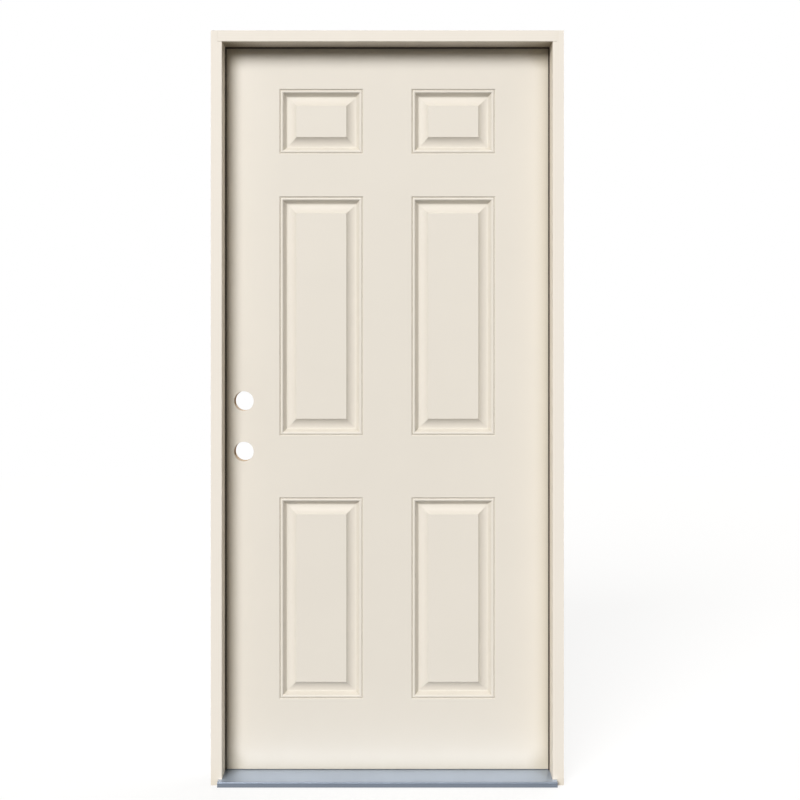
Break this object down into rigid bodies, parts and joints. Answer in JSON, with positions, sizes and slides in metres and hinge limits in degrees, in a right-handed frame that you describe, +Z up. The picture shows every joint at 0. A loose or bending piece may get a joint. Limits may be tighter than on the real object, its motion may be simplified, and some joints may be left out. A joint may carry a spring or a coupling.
{
  "type": "panelled front door",
  "caption": "Panelled steel front door hung in its rabbeted frame on butt hinges, with weatherstrips and an aluminium sill, bored for a lock and a deadbolt.",
  "frame": {"origin": "middle of the sill's underside, halfway through the depth of the jambs", "axes": "+X to the right as seen from outdoors, towards the hinges; +Y from outdoors to indoors; +Z up"},
  "size_m": [0.956, 0.1515, 2.0445],
  "materials": {
    "primed_steel": "cream factory primer, satin",
    "primed_wood": "pine, factory primed cream, satin",
    "raw_wood": "planed pine, unpainted",
    "core_foam": "rigid insulating foam, foamed in place",
    "seal_foam": "foam seal in a dark brown film, matt",
    "sweep_rubber": "extruded, matt",
    "mill_aluminium": "extruded, satin mill finish",
    "sill_composite": "wood and plastic composite, sawn",
    "cap_vinyl": "extruded vinyl, tan",
    "hinge_steel": "satin nickel plate"
  },
  "bodies": {
    "frame": {"hinge_jamb": "primed_wood", "strike_jamb": "primed_wood", "head_jamb": "primed_wood", "weatherstrip_strike": "seal_foam", "weatherstrip_hinge": "seal_foam", "weatherstrip_head": "seal_foam", "corner_pad_strike": "seal_foam", "corner_pad_hinge": "seal_foam", "sill_deck": "mill_aluminium", "sill_substrate": "sill_composite", "threshold_cap": "cap_vinyl", "top_hinge_frame_leaf": "hinge_steel", "top_hinge_pin": "hinge_steel", "middle_hinge_frame_leaf": "hinge_steel", "middle_hinge_pin": "hinge_steel", "bottom_hinge_frame_leaf": "hinge_steel", "bottom_hinge_pin": "hinge_steel"},
    "door": {"exterior_skin": "primed_steel", "interior_skin": "primed_steel", "door_sweep": "sweep_rubber", "hinge_stile": "raw_wood", "lock_stile": "raw_wood", "top_rail": "raw_wood", "bottom_rail": "raw_wood", "lock_block": "raw_wood", "deadbolt_block": "raw_wood", "foam_core": "core_foam", "top_hinge_door_leaf": "hinge_steel", "middle_hinge_door_leaf": "hinge_steel", "bottom_hinge_door_leaf": "hinge_steel"}
  },
  "joints": [
    {"name": "door_swing", "type": "hinge", "parent": "frame", "child": "door", "pos_m": [0.4585, 0.0675, 1], "axis": [0, 0, -1], "range_deg": [0, 170]}
  ]
}
